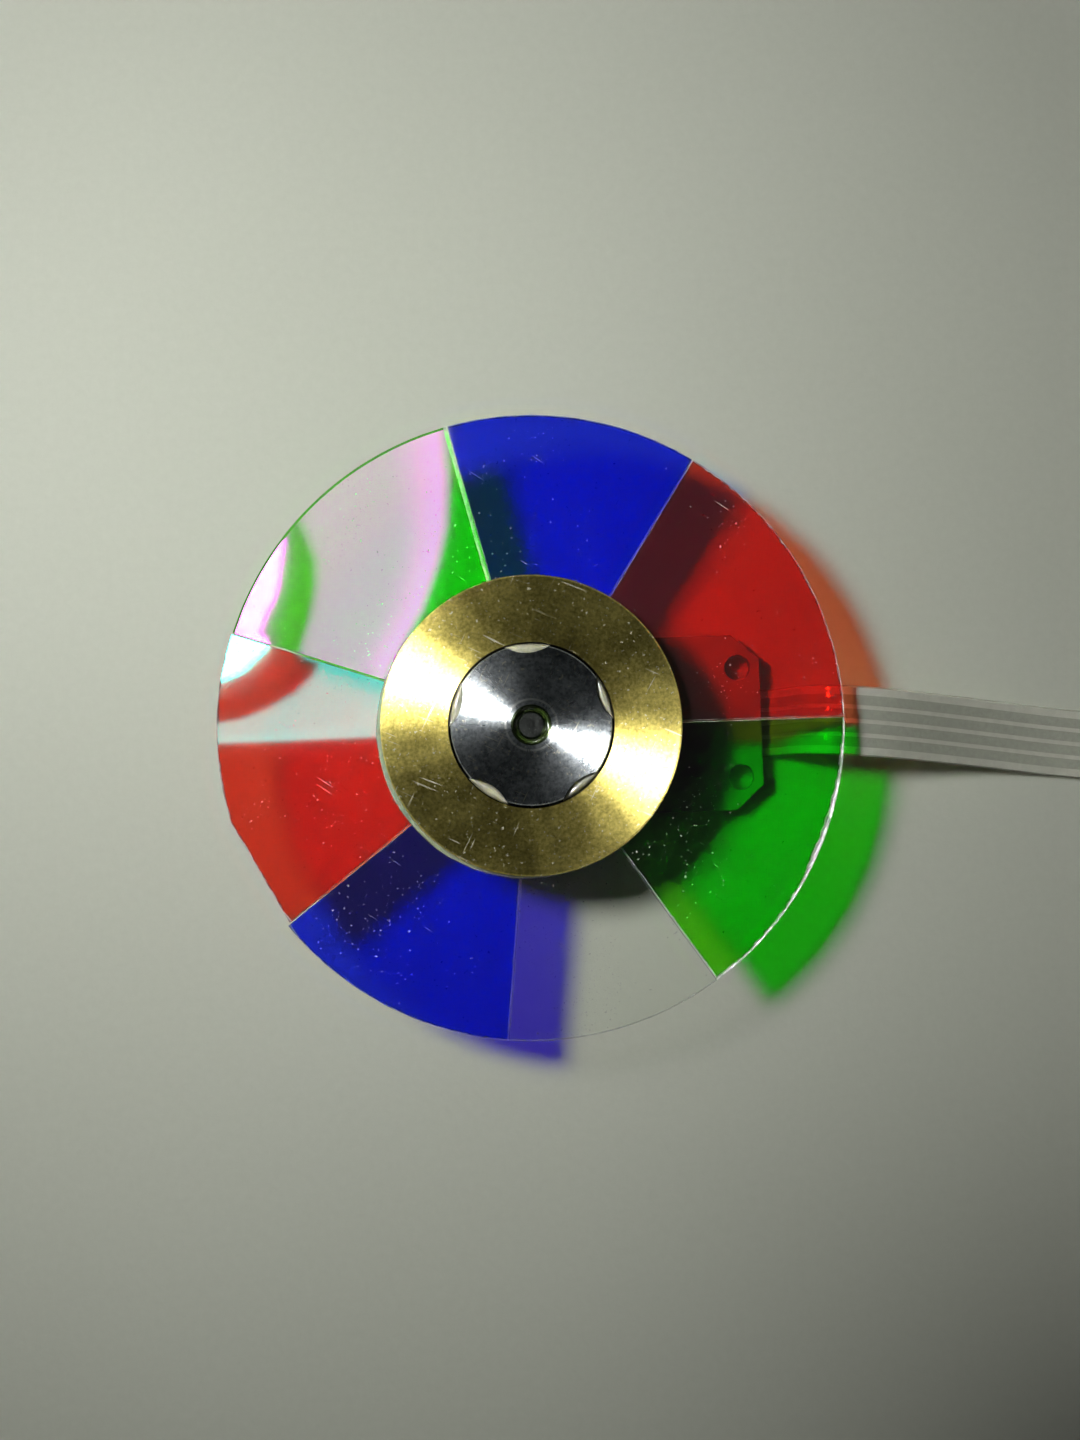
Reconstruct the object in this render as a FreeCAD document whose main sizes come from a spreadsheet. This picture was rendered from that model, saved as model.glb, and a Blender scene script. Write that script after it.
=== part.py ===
import FreeCAD, Part
import math
import os
import re
import Sketcher

# Projector color wheel: a ring of seven dichroic glass filters clamped on the hub of a flat
# brushless motor, on a small steel mounting plate with a flat cable.
# Millimetres and degrees. The origin is on the spin axis, on the surface that the wheel stands
# on. The plate's arm points along +X, and the glass lies level above it.

SIZES = {
    # Glass ring
    "disc_radius": 22.0,
    "glass_thickness": 0.7,
    "seam_angle": 0.26,
    "wide_seam_angle": 0.95,
    "first_seam_angle": -0.2,
    "red_a_angle": 57.0,
    "blue_a_angle": 47.0,
    "green_b_angle": 57.0,
    "red_b_angle": 56.5,
    "blue_b_angle": 46.5,
    "green_a_angle": 55.5,
    "bond_film": 0.1,
    "bond_inset": 0.4,
    "bond_spill": 0.4,
    "bond_spill_heading": 203.0,
    # Balance ring
    "ring_overhang": 0.3,
    "ring_thickness": 1.5,
    "ring_chamfer": 0.12,
    # Hub
    "flange_overhang": 0.5,
    "flange_thickness": 0.7,
    "boss_radius": 5.6,
    "boss_clearance": 0.15,
    "boss_rise": 0.4,
    "boss_chamfer": 0.08,
    "rivet_radius": 3.0,
    "pocket_count": 5,
    "pocket_angle": 19.0,
    "pocket_radius": 3.0,
    "pocket_bite": 0.6,
    "pocket_depth": 1.0,
    "dab_drop": 0.1,
    "recess_radius": 1.3,
    "recess_depth": 1.0,
    "recess_mouth": 0.5,
    "recess_slope": 0.12,
    # Shaft and its bearing
    "shaft_radius": 1.0,
    "shaft_chamfer": 0.15,
    "shaft_end_drop": 0.35,
    "shaft_end_gap": 0.05,
    "lock_glue_height": 0.5,
    "groove_radius": 0.75,
    "washer_radius": 1.55,
    "washer_thickness": 0.2,
    "washer_lift": 0.35,
    "washer_play": 0.2,
    "running_clearance": 0.03,
    "bearing_radius": 1.8,
    "bearing_inset": 0.15,
    "thrust_thickness": 0.25,
    "cap_radius": 2.4,
    "cap_thickness": 0.3,
    # Rotor
    "rotor_lift": 0.7,
    "yoke_radius": 9.7,
    "yoke_wall": 0.4,
    "yoke_corner": 0.4,
    "magnet_wall": 1.2,
    "magnet_top_gap": 0.3,
    "magnet_inset": 0.2,
    "mark_film": 0.05,
    "mark_inset": 0.5,
    "mark_angle": 30.0,
    "mark_heading": 228.0,
    # Bearing housing
    "spigot_radius": 4.0,
    "spigot_height": 0.8,
    "spigot_chamfer": 0.2,
    "neck_radius": 3.0,
    "collar_radius": 3.3,
    "collar_height": 0.45,
    "stem_radius": 2.5,
    "stem_clearance": 0.3,
    # Wound stator
    "air_gap": 0.3,
    "tooth_count": 9,
    "tooth_width": 1.2,
    "core_thickness": 1.6,
    "core_wall": 1.2,
    "shoe_depth": 0.85,
    "shoe_angle": 33.0,
    "insulator_film": 0.4,
    "insulator_wall": 0.2,
    "lip_depth": 0.3,
    "lip_width": 2.6,
    "coil_wall": 0.45,
    "coil_play": 0.05,
    "coil_headroom": 0.45,
    # Mounting plate
    "plate_thickness": 1.2,
    "plate_radius": 10.2,
    "arm_width": 12.8,
    "arm_reach": 16.8,
    "corner_length": 2.0,
    "corner_width": 1.8,
    "mount_hole_radius": 0.95,
    "mount_hole_inset": 1.6,
    "mount_hole_spacing": 8.0,
    # Circuit, leads and flat cable
    "circuit_thickness": 0.25,
    "circuit_radius": 8.5,
    "circuit_clearance": 0.15,
    "circuit_arm_width": 5.6,
    "circuit_arm_inset": 1.3,
    "lead_count": 4,
    "lead_width": 0.2,
    "lead_reach": 5.2,
    "lead_window_width": 1.3,
    "lead_window_margin": 16.0,
    "solder_width": 0.8,
    "solder_height": 0.22,
    "cable_inset": 4.2,
    "cable_heading": -5.6,
    "cable_width": 5.0,
    "cable_thickness": 0.2,
    "conductor_count": 4,
    "conductor_pitch": 1.0,
    "conductor_width": 0.7,
    "joint_length": 1.0,
    "contact_length": 4.0,
    "contact_thickness": 0.1,
    "stiffener_length": 8.0,
    "stiffener_thickness": 0.25,
}

# The flat cable's centre line, from the circuit out over one low hump and along the surface.
# Each point is a distance from the cable's start, along its heading, and a height.
CABLE_ROUTE = [
    (0.0, 0.45),
    (5.6, 0.45),
    (8.8, 4.9),
    (13.6, 5.9),
    (20.5, 2.1),
    (27.1, 0.4),
    (38.6, 1.0),
    (52.7, 0.35),
    (66.7, 0.35),
]

# Heights above the surface, as sums of the sizes above
PLATE_TOP = "(spigot_height + plate_thickness)"
COLLAR_TOP = f"({PLATE_TOP} + collar_height)"
CORE_BOTTOM = f"({COLLAR_TOP} + coil_wall + insulator_film)"
CORE_TOP = f"({CORE_BOTTOM} + core_thickness)"
COIL_FLOOR = f"({CORE_BOTTOM} - insulator_film - coil_wall)"
COIL_TOP = f"({CORE_TOP} + insulator_film + coil_wall)"
YOKE_BOTTOM = f"({PLATE_TOP} + rotor_lift)"
CEILING = f"({COIL_TOP} + coil_headroom)"
YOKE_TOP = f"({CEILING} + yoke_wall)"
FLANGE_TOP = f"({YOKE_TOP} + flange_thickness)"
GLASS_BOTTOM = f"({FLANGE_TOP} + bond_film)"
GLASS_TOP = f"({GLASS_BOTTOM} + glass_thickness)"
RING_BOTTOM = f"({GLASS_TOP} + bond_film)"
RING_TOP = f"({RING_BOTTOM} + ring_thickness)"
BOSS_TOP = f"({RING_TOP} + boss_rise)"
POCKET_FLOOR = f"({BOSS_TOP} - pocket_depth)"
RECESS_FLOOR = f"({BOSS_TOP} - recess_depth)"
THRUST_TOP = "(cap_thickness + thrust_thickness)"
SHAFT_BOTTOM = f"({THRUST_TOP} + shaft_end_gap)"
SHAFT_TOP = f"({BOSS_TOP} - shaft_end_drop)"
WASHER_BOTTOM = f"({SHAFT_BOTTOM} + washer_lift)"
WASHER_TOP = f"({WASHER_BOTTOM} + washer_thickness)"
STEM_TOP = f"({CEILING} - stem_clearance)"
CIRCUIT_BOTTOM = "(spigot_height - circuit_thickness)"
SOLDER_BOTTOM = f"({CIRCUIT_BOTTOM} - solder_height)"
SOLDER_TOP = "(spigot_height + solder_height)"

# Distances from the spin axis
BORE = "(boss_radius + boss_clearance)"
FLANGE_RADIUS = "(yoke_radius + flange_overhang)"
RING_RADIUS = f"({FLANGE_RADIUS} + ring_overhang)"
MAGNET_OUTER = "(yoke_radius - yoke_wall)"
MAGNET_INNER = f"({MAGNET_OUTER} - magnet_wall)"
CORE_RADIUS = f"({MAGNET_INNER} - air_gap)"
SHOE_INNER = f"({CORE_RADIUS} - shoe_depth)"
CORE_RING = "(stem_radius + core_wall)"
RIM_OUTER = f"({CORE_RING} + insulator_wall)"
COIL_START = f"({RIM_OUTER} + coil_play)"
LIP_INNER = f"({SHOE_INNER} - coil_play - lip_depth)"
COIL_END = f"({LIP_INNER} - coil_play)"
MOUNT_HOLE_REACH = "(arm_reach - mount_hole_inset)"
CIRCUIT_ARM_REACH = "(arm_reach - circuit_arm_inset)"
POCKET_REACH = "(boss_radius - pocket_bite + pocket_radius)"
TOOTH_PITCH = "(360 / tooth_count)"
LEAD_SPREAD = f"({TOOTH_PITCH} * (lead_count - 1))"

Vector = FreeCAD.Vector
UP = Vector(0, 0, 1)

document = FreeCAD.newDocument("color_wheel")
sheet = document.addObject("Spreadsheet::Sheet", "sizes")
for row, (alias, number) in enumerate(SIZES.items(), start=1):
    sheet.set(f"A{row}", alias)
    sheet.set(f"B{row}", str(number))
    sheet.setAlias(f"B{row}", alias)
document.recompute()

nodes = []


def bound(text):
    """The same sum with each size named on the sheet."""
    return re.sub(r"\b[a-z]+(?:_[a-z]+)+\b", lambda found: "sizes." + found.group(0), text)


def size(text):
    """The number that a size or a sum of sizes stands for."""
    return float(sheet.evalExpression(text))


def tie(thing, place, text):
    """Binds one property of a feature to the sheet."""
    thing.setExpression(place, bound(text))


def keep(thing, name):
    """Makes a finished sub-part a node under its own name."""
    thing.Label = name
    nodes.append(thing)
    return thing


def new_body(name):
    return keep(document.addObject("PartDesign::Body", name + "_body"), name)


def sketch_on(body, role, level="0"):
    """A sketch on one of the body's origin planes, raised to a level."""
    plane = next(item for item in body.Origin.OriginFeatures if item.Role == role)
    sketch = body.newObject("Sketcher::SketchObject", body.Label + "_sketch")
    sketch.AttachmentSupport = [(plane, "")]
    sketch.MapMode = "FlatFace"
    tie(sketch, "AttachmentOffset.Base.z", level)
    return sketch


def tie_point(sketch, geometry, point, corner):
    """Ties a point of the sketch to its two coordinates."""
    for kind, text in zip(("DistanceX", "DistanceY"), corner):
        index = sketch.addConstraint(Sketcher.Constraint(kind, -1, 1, geometry, point, size(text)))
        tie(sketch, f"Constraints[{index}]", text)


def outline(sketch, corners):
    """A closed outline of straight edges."""
    places = [Vector(size(across), size(along), 0) for across, along in corners]
    following = places[1:] + places[:1]
    edges = [Part.LineSegment(start, end) for start, end in zip(places, following)]
    indices = list(sketch.addGeometry(edges))
    joins = zip(indices, indices[1:] + indices[:1])
    sketch.addConstraint([Sketcher.Constraint("Coincident", one, 2, two, 1) for one, two in joins])
    for index, corner in zip(indices, corners):
        tie_point(sketch, index, 1, corner)


def rectangle(sketch, left, right, low, high):
    outline(sketch, [(left, low), (right, low), (right, high), (left, high)])


def circle(sketch, radius, across="0", along="0"):
    centre = Vector(size(across), size(along), 0)
    index = sketch.addGeometry(Part.Circle(centre, UP, size(radius)))
    tie_point(sketch, index, 3, (across, along))
    rim = sketch.addConstraint(Sketcher.Constraint("Radius", index, size(radius)))
    tie(sketch, f"Constraints[{rim}]", radius)


def revolve(body, corners, span="360", kind="Revolution"):
    """Turns an outline of (radius, height) corners about the spin axis."""
    sketch = sketch_on(body, "XZ_Plane")
    outline(sketch, corners)
    turned = body.newObject("PartDesign::" + kind, body.Label + "_turned")
    turned.Profile = sketch
    turned.ReferenceAxis = (sketch, ["V_Axis"])
    turned.Midplane = True
    tie(turned, "Angle", span)
    return turned


def ring(name, inner, outer, low, high, span="360", heading="0"):
    """A ring of plain section, or a sector of one centred on a heading."""
    body = new_body(name)
    revolve(body, [(inner, low), (outer, low), (outer, high), (inner, high)], span)
    tie(body, "Placement.Rotation.Angle", heading)
    return body


def pad(body, sketch, length):
    raised = body.newObject("PartDesign::Pad", body.Label + "_pad")
    raised.Profile = sketch
    tie(raised, "Length", length)
    return raised


def pocket(body, sketch, depth):
    """Cuts from the sketch's level down."""
    sunk = body.newObject("PartDesign::Pocket", body.Label + "_pocket")
    sunk.Profile = sketch
    tie(sunk, "Length", depth)
    return sunk


def around(body, features, sketch, count, span="360"):
    """Repeats features evenly about the spin axis."""
    pattern = body.newObject("PartDesign::PolarPattern", body.Label + "_pattern")
    pattern.Originals = features
    pattern.Axis = (sketch, ["N_Axis"])
    tie(pattern, "Angle", span)
    tie(pattern, "Occurrences", count)
    body.Tip = pattern
    return pattern


# Glass filters


def glass_filters():
    """Seven sectors in their order round the disc, counter-clockwise from above."""
    order = ["red_a", "blue_a", "green_b", "red_b", "blue_b", "clear", "green_a"]
    given = [f"{name}_angle" for name in order if name != "clear"]
    start = "first_seam_angle"
    for name in order:
        span = f"{name}_angle" if name != "clear" else f"(360 - {' - '.join(given)})"
        gap = "wide_seam_angle" if name == "green_b" else "seam_angle"
        heading = f"({start} + ({span} + {gap} - seam_angle) / 2)"
        ring(f"filter_{name}", BORE, "disc_radius", GLASS_BOTTOM, GLASS_TOP,
             f"({span} - {gap})", heading)
        start = f"({start} + {span})"


def glass_bonds():
    """The films of adhesive under and over the glass; the upper one spills past the ring."""
    inner = f"({BORE} + bond_inset)"
    ring("bond_film_lower", inner, f"({FLANGE_RADIUS} - bond_inset)", FLANGE_TOP, GLASS_BOTTOM)
    upper = new_body("bond_film_upper")
    sketch = sketch_on(upper, "XY_Plane", GLASS_TOP)
    circle(sketch, inner)
    circle(sketch, RING_RADIUS, "bond_spill")
    pad(upper, sketch, "bond_film")
    tie(upper, "Placement.Rotation.Angle", "bond_spill_heading")


def balance_ring():
    body = new_body("balance_ring")
    revolve(body, [
        (BORE, RING_BOTTOM),
        (RING_RADIUS, RING_BOTTOM),
        (RING_RADIUS, f"({RING_TOP} - ring_chamfer)"),
        (f"({RING_RADIUS} - ring_chamfer)", RING_TOP),
        (BORE, RING_TOP),
    ])


# Hub and shaft


def rotor_hub():
    """Flange, boss with a stepped bore, and five scallops for glue round the boss."""
    body = new_body("rotor_hub")
    revolve(body, [
        ("shaft_radius", CEILING),
        ("rivet_radius", CEILING),
        ("rivet_radius", YOKE_TOP),
        (FLANGE_RADIUS, YOKE_TOP),
        (FLANGE_RADIUS, FLANGE_TOP),
        ("boss_radius", FLANGE_TOP),
        ("boss_radius", f"({BOSS_TOP} - boss_chamfer)"),
        ("(boss_radius - boss_chamfer)", BOSS_TOP),
        ("(recess_radius + recess_mouth)", BOSS_TOP),
        ("recess_radius", f"({BOSS_TOP} - recess_slope)"),
        ("recess_radius", RECESS_FLOOR),
        ("shaft_radius", RECESS_FLOOR),
    ])
    sketch = sketch_on(body, "XY_Plane", BOSS_TOP)
    circle(sketch, "pocket_radius", POCKET_REACH)
    scallop = pocket(body, sketch, "pocket_depth")
    around(body, [scallop], sketch, "pocket_count")
    tie(body, "Placement.Rotation.Angle", "pocket_angle")


def glue_dabs():
    """Each scallop's fill, out to the bore of the balance ring."""
    for index in range(int(SIZES["pocket_count"])):
        name = f"glue_dab_{index + 1}"
        scallop = document.addObject("Part::Cylinder", name + "_scallop")
        tie(scallop, "Radius", "pocket_radius")
        tie(scallop, "Placement.Base.x", POCKET_REACH)
        bore = document.addObject("Part::Cylinder", name + "_bore")
        tie(bore, "Radius", BORE)
        for drum in (scallop, bore):
            tie(drum, "Height", "(pocket_depth - dab_drop)")
            tie(drum, "Placement.Base.z", POCKET_FLOOR)
        dab = document.addObject("Part::Common", name + "_fill")
        dab.Base = bore
        dab.Tool = scallop
        tie(dab, "Placement.Rotation.Angle", f"(pocket_angle + {index} * 360 / pocket_count)")
        keep(dab, name)


def shaft():
    body = new_body("shaft")
    revolve(body, [
        ("0", SHAFT_BOTTOM),
        ("shaft_radius", SHAFT_BOTTOM),
        ("shaft_radius", WASHER_BOTTOM),
        ("groove_radius", WASHER_BOTTOM),
        ("groove_radius", WASHER_TOP),
        ("shaft_radius", WASHER_TOP),
        ("shaft_radius", f"({SHAFT_TOP} - shaft_chamfer)"),
        ("(shaft_radius - shaft_chamfer)", SHAFT_TOP),
        ("0", SHAFT_TOP),
    ])
    ring("retaining_washer", "groove_radius", "washer_radius", WASHER_BOTTOM, WASHER_TOP)
    ring("shaft_lock_glue", "shaft_radius", "recess_radius", RECESS_FLOOR,
         f"({RECESS_FLOOR} + lock_glue_height)")


# Rotor cup


def rotor_yoke():
    """The drawn steel cup, open downwards, with the magnet ring inside its wall."""
    body = new_body("rotor_yoke")
    revolve(body, [
        ("rivet_radius", CEILING),
        (MAGNET_OUTER, CEILING),
        (MAGNET_OUTER, YOKE_BOTTOM),
        ("yoke_radius", YOKE_BOTTOM),
        ("yoke_radius", f"({YOKE_TOP} - yoke_corner)"),
        ("(yoke_radius - yoke_corner)", YOKE_TOP),
        ("rivet_radius", YOKE_TOP),
    ])
    ring("magnet_ring", MAGNET_INNER, MAGNET_OUTER, f"({YOKE_BOTTOM} + magnet_inset)",
         f"({CEILING} - magnet_top_gap)")
    ring("timing_mark", "yoke_radius", "(yoke_radius + mark_film)",
         f"({YOKE_BOTTOM} + mark_inset)", f"({YOKE_TOP} - yoke_corner)", "mark_angle",
         "mark_heading")


# Bearing


def bearing_housing():
    """The turned housing: locating spigot below the plate, collar and stem above it."""
    body = new_body("bearing_housing")
    revolve(body, [
        ("cap_radius", "0"),
        ("(spigot_radius - spigot_chamfer)", "0"),
        ("spigot_radius", "spigot_chamfer"),
        ("spigot_radius", "spigot_height"),
        ("neck_radius", "spigot_height"),
        ("neck_radius", PLATE_TOP),
        ("collar_radius", PLATE_TOP),
        ("collar_radius", COLLAR_TOP),
        ("stem_radius", COLLAR_TOP),
        ("stem_radius", STEM_TOP),
        ("bearing_radius", STEM_TOP),
        ("bearing_radius", "cap_thickness"),
        ("cap_radius", "cap_thickness"),
    ])


def bearing_parts():
    ring("end_cap", "0", "cap_radius", "0", "cap_thickness")
    ring("thrust_plate", "0", "bearing_radius", "cap_thickness", THRUST_TOP)
    ring("sleeve_bearing", "(shaft_radius + running_clearance)", "bearing_radius",
         f"({WASHER_TOP} + washer_play)", f"({STEM_TOP} - bearing_inset)")


# Wound stator


def arm(body, inner, outer, width, low, high):
    """A bar along +X between two radii."""
    sketch = sketch_on(body, "XY_Plane", low)
    rectangle(sketch, inner, outer, f"(-{width} / 2)", f"({width} / 2)")
    return pad(body, sketch, f"({high} - {low})"), sketch


def stator_core():
    """The laminated core: a ring with nine T shaped teeth."""
    body = new_body("stator_core")
    revolve(body, [
        ("stem_radius", CORE_BOTTOM),
        (CORE_RING, CORE_BOTTOM),
        (CORE_RING, CORE_TOP),
        ("stem_radius", CORE_TOP),
    ])
    inside_ring = "(stem_radius + core_wall / 2)"
    inside_shoe = f"({SHOE_INNER} + shoe_depth / 2)"
    limb, sketch = arm(body, inside_ring, inside_shoe, "tooth_width", CORE_BOTTOM, CORE_TOP)
    shoe = revolve(body, [
        (SHOE_INNER, CORE_BOTTOM),
        (CORE_RADIUS, CORE_BOTTOM),
        (CORE_RADIUS, CORE_TOP),
        (SHOE_INNER, CORE_TOP),
    ], "shoe_angle")
    around(body, [limb, shoe], sketch, "tooth_count")


def insulator(name, low, high, collar_low, collar_high):
    """A moulded frame on one face of the core, with a collar inside and a lip outside each coil."""
    body = new_body(name)
    revolve(body, [
        ("stem_radius", collar_low),
        (RIM_OUTER, collar_low),
        (RIM_OUTER, collar_high),
        ("stem_radius", collar_high),
    ])
    inside_collar = f"({RIM_OUTER} - insulator_wall)"
    lip_outer = f"({LIP_INNER} + lip_depth)"
    limb, sketch = arm(body, inside_collar, lip_outer, "tooth_width", low, high)
    lip, _ = arm(body, LIP_INNER, lip_outer, "lip_width", collar_low, collar_high)
    around(body, [limb, lip], sketch, "tooth_count")


def insulators():
    insulator("insulator_upper", CORE_TOP, f"({CORE_TOP} + insulator_film)", CORE_TOP, COIL_TOP)
    insulator("insulator_lower", f"({CORE_BOTTOM} - insulator_film)", CORE_BOTTOM,
              COIL_FLOOR, CORE_BOTTOM)


def stator_coils():
    """One winding round each tooth."""
    half_inside = "(tooth_width / 2)"
    half_outside = "(tooth_width / 2 + coil_wall)"
    for index in range(int(SIZES["tooth_count"])):
        body = new_body(f"stator_coil_{index + 1}")
        sketch = sketch_on(body, "YZ_Plane", COIL_START)
        rectangle(sketch, f"(-{half_outside})", half_outside, COIL_FLOOR, COIL_TOP)
        rectangle(sketch, f"(-{half_inside})", half_inside, f"({COIL_FLOOR} + coil_wall)",
                  f"({COIL_TOP} - coil_wall)")
        pad(body, sketch, f"({COIL_END} - {COIL_START})")
        tie(body, "Placement.Rotation.Angle", f"({index} * {TOOTH_PITCH})")


def coil_leads():
    """Four lead wires, from the coils down to the circuit in the plate's window."""
    wires = new_body("coil_leads")
    half_wire = "(lead_width / 2)"
    wire, sketch = arm(wires, f"(-lead_reach - {half_wire})", f"({half_wire} - lead_reach)",
                       "lead_width", SOLDER_TOP, COIL_FLOOR)
    around(wires, [wire], sketch, "lead_count", LEAD_SPREAD)
    solder = new_body("lead_solder")
    half_bead = "(solder_width / 2)"
    bead, sketch = arm(solder, f"(-lead_reach - {half_bead})", f"({half_bead} - lead_reach)",
                       "solder_width", "spigot_height", SOLDER_TOP)
    around(solder, [bead], sketch, "lead_count", LEAD_SPREAD)
    for body in (wires, solder):
        tie(body, "Placement.Rotation.Angle", f"(-{LEAD_SPREAD} / 2)")


# Mounting plate and circuit


def lead_window(body):
    """The arc shaped opening round the spin axis, opposite the arm, that shows the leads."""
    half = "(lead_window_width / 2)"
    return revolve(body, [
        (f"(-lead_reach - {half})", "spigot_height"),
        (f"({half} - lead_reach)", "spigot_height"),
        (f"({half} - lead_reach)", PLATE_TOP),
        (f"(-lead_reach - {half})", PLATE_TOP),
    ], f"({LEAD_SPREAD} + lead_window_margin)", "Groove")


def mounting_plate():
    """The stamped steel plate: a round seat for the motor and an arm with cut corners."""
    body = new_body("mounting_plate")
    sketch = sketch_on(body, "XY_Plane", "spigot_height")
    circle(sketch, "plate_radius")
    pad(body, sketch, "plate_thickness")
    sketch = sketch_on(body, "XY_Plane", "spigot_height")
    half = "(arm_width / 2)"
    outline(sketch, [
        ("0", f"(-{half})"),
        ("(arm_reach - corner_length)", f"(-{half})"),
        ("arm_reach", f"(corner_width - {half})"),
        ("arm_reach", f"({half} - corner_width)"),
        ("(arm_reach - corner_length)", half),
        ("0", half),
    ])
    pad(body, sketch, "plate_thickness")
    sketch = sketch_on(body, "XY_Plane", PLATE_TOP)
    circle(sketch, "neck_radius")
    circle(sketch, "mount_hole_radius", MOUNT_HOLE_REACH, "(mount_hole_spacing / 2)")
    circle(sketch, "mount_hole_radius", MOUNT_HOLE_REACH, "(-mount_hole_spacing / 2)")
    pocket(body, sketch, "plate_thickness")
    lead_window(body)


def motor_circuit():
    """The circuit bonded under the plate, with an arm out to the cable."""
    body = new_body("motor_circuit")
    sketch = sketch_on(body, "XY_Plane", CIRCUIT_BOTTOM)
    circle(sketch, "circuit_radius")
    pad(body, sketch, "circuit_thickness")
    arm(body, "(spigot_radius + circuit_clearance)", CIRCUIT_ARM_REACH, "circuit_arm_width",
        CIRCUIT_BOTTOM, "spigot_height")
    sketch = sketch_on(body, "XY_Plane", "spigot_height")
    circle(sketch, "(spigot_radius + circuit_clearance)")
    pocket(body, sketch, "circuit_thickness")


def conductor_row(name, left, length, low, thickness):
    """One short bar for each conductor of the cable, side by side."""
    body = new_body(name)
    sketch = sketch_on(body, "XY_Plane", low)
    first = "(-conductor_pitch * (conductor_count - 1) / 2)"
    rectangle(sketch, left, f"({left} + {length})", f"({first} - conductor_width / 2)",
              f"({first} + conductor_width / 2)")
    bar = pad(body, sketch, thickness)
    pattern = body.newObject("PartDesign::LinearPattern", name + "_row")
    pattern.Originals = [bar]
    pattern.Direction = (sketch, ["V_Axis"])
    tie(pattern, "Length", "(conductor_pitch * (conductor_count - 1))")
    tie(pattern, "Occurrences", "conductor_count")
    body.Tip = pattern
    return body


# Flat cable


def rounded_path(points):
    """Straight runs joined by tangent arcs, each as large as its two runs allow."""
    share = 0.45
    edges = []
    radii = []
    last = points[0]
    for before, corner, after in zip(points, points[1:], points[2:]):
        back = (before - corner).normalize()
        onward = (after - corner).normalize()
        reach = share * min((before - corner).Length, (after - corner).Length)
        half_turn = (math.pi - back.getAngle(onward)) / 2
        radius = reach / math.tan(half_turn)
        bisector = (back + onward).normalize()
        centre = corner + bisector * (radius / math.cos(half_turn))
        start = corner + back * reach
        end = corner + onward * reach
        middle = centre - bisector * radius
        edges.append(Part.LineSegment(last, start).toShape())
        edges.append(Part.Arc(start, middle, end).toShape())
        radii.append(radius)
        last = end
    edges.append(Part.LineSegment(last, points[-1]).toShape())
    return Part.Wire(edges), radii


def flat_cable():
    """The cable's film as one strip, then its bare contacts on a stiffener at the far end."""
    turn = FreeCAD.Rotation(UP, size("cable_heading"))
    side = turn.multVec(Vector(0, 1, 0))
    start = Vector(size("(arm_reach - cable_inset)"), 0, 0)
    points = [start + turn.multVec(Vector(reach, 0, height)) for reach, height in CABLE_ROUTE]
    path, radii = rounded_path(points)
    print("cable radii", [round(radius, 1) for radius in radii])
    half_width = size("cable_width") / 2
    half_thickness = size("cable_thickness") / 2
    rim = [
        points[0] + side * across + UP * up
        for across, up in (
            (-half_width, -half_thickness),
            (half_width, -half_thickness),
            (half_width, half_thickness),
            (-half_width, half_thickness),
        )
    ]
    section = Part.makePolygon(rim + rim[:1])
    shell = Part.BRepOffsetAPI.MakePipeShell(path)
    shell.setFrenetMode(False)
    shell.add(section, False, False)
    shell.build()
    shell.makeSolid()
    strip = document.addObject("Part::Feature", "flat_cable_strip")
    strip.Shape = shell.shape()
    expected = path.Length * size("cable_width") * size("cable_thickness")
    print("cable length", round(path.Length, 2), "volume", round(strip.Shape.Volume, 3),
          "expected", round(expected, 3))
    keep(strip, "flat_cable")

    solder = conductor_row("cable_solder", "-joint_length", "joint_length",
                           SOLDER_BOTTOM, "solder_height")
    solder.Placement = FreeCAD.Placement(start, turn)

    end = points[-1]
    film_floor = end.z - half_thickness
    contacts = conductor_row("cable_contacts", "0", "contact_length", "0", "contact_thickness")
    contacts.Placement = FreeCAD.Placement(Vector(end.x, end.y, film_floor), turn)

    stiffener = document.addObject("Part::Box", "cable_stiffener_box")
    tie(stiffener, "Length", "stiffener_length")
    tie(stiffener, "Width", "cable_width")
    tie(stiffener, "Height", "stiffener_thickness")
    near = size("contact_length") - size("stiffener_length")
    foot = turn.multVec(Vector(near, -half_width, 0)) + end
    foot.z = film_floor - size("stiffener_thickness")
    stiffener.Placement = FreeCAD.Placement(foot, turn)
    keep(stiffener, "cable_stiffener")


glass_filters()
glass_bonds()
balance_ring()
rotor_hub()
glue_dabs()
shaft()
rotor_yoke()
bearing_housing()
bearing_parts()
stator_core()
insulators()
stator_coils()
coil_leads()
mounting_plate()
motor_circuit()
flat_cable()
document.recompute()

for item in document.Objects:
    if "Invalid" in item.State or "Error" in item.State:
        raise RuntimeError(f"{item.Label} did not build: {item.State}")

os.makedirs("parts", exist_ok=True)
for node in nodes:
    if node.Shape.isNull() or not node.Shape.isValid() or not node.Shape.Solids:
        raise RuntimeError(f"{node.Label} has no valid solid")
    node.Shape.exportStep(f"parts/{node.Label}.step")
    print(f"{node.Label}: {len(node.Shape.Solids)} solid, {node.Shape.Volume:.4f} mm3")
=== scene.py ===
import math
import random

import bpy
from mathutils import Matrix, Vector


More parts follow.
